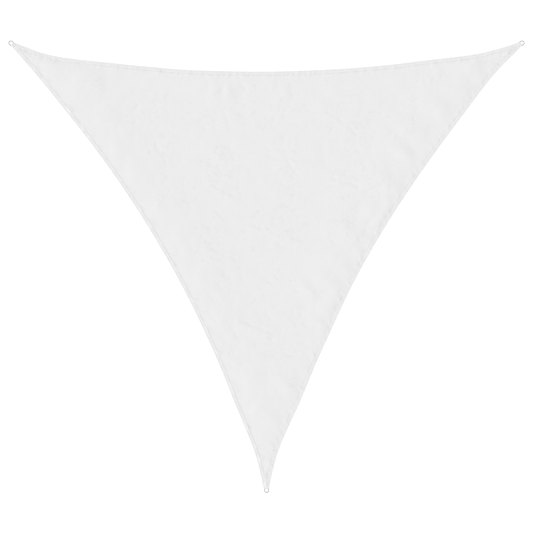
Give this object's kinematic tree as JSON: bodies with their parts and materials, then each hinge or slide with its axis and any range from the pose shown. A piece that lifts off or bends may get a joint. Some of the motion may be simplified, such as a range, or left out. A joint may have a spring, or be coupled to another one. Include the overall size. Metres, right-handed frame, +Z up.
{
  "type": "shade sail",
  "caption": "Triangular cloth shade sail with inward-curved hemmed sides, lying flat, with a steel D-ring in a webbing loop at each corner.",
  "frame": {"origin": "on the ground under the middle of the sail's box", "axes": "+X along the straight line from the left top ring to the right top ring, +Y from the foot corner towards the top side, +Z up out of the cloth's face"},
  "size_m": [3.6123, 3.1653, 0.0122],
  "materials": {
    "sail_cloth": "plain off-white polyester weave, matt, two rows of matching stitching along each hem",
    "webbing": "off-white ribbed webbing, matt",
    "ring_steel": "polished stainless steel wire with a butt weld in the bar"
  },
  "bodies": {
    "root": {"sail_cloth": "sail_cloth", "corner_strap_left": "webbing", "corner_strap_right": "webbing", "corner_strap_foot": "webbing", "d_ring_left": "ring_steel", "d_ring_right": "ring_steel", "d_ring_foot": "ring_steel"}
  },
  "joints": []
}
